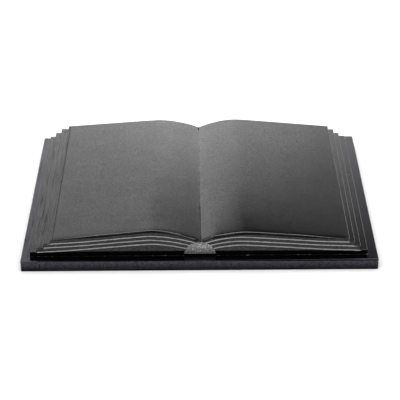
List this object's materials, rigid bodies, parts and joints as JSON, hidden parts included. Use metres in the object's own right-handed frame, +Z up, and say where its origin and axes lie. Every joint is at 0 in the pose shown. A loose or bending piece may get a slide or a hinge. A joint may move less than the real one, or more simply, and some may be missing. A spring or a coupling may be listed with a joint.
{
  "type": "granite open book memorial",
  "caption": "Open book carved in polished black granite, with fanned page edges and waved pages, bonded onto a thin polished granite slab, as a grave or garden memorial.",
  "frame": {"origin": "centre of the slab's underside, on the surface that the memorial rests on", "axes": "+X to the reader's right, along the open book's width; +Y from the reader to the head of the pages; +Z up"},
  "size_m": [0.4, 0.3, 0.0444],
  "materials": {
    "polished_granite_slab": "polished black granite slab, fine grained, with a faint blue cast",
    "polished_granite_book": "polished black granite, fine grained, with cut page lines and a pecked spine end left unpolished"
  },
  "bodies": {
    "root": {"base_slab": "polished_granite_slab", "open_book": "polished_granite_book"}
  },
  "joints": []
}
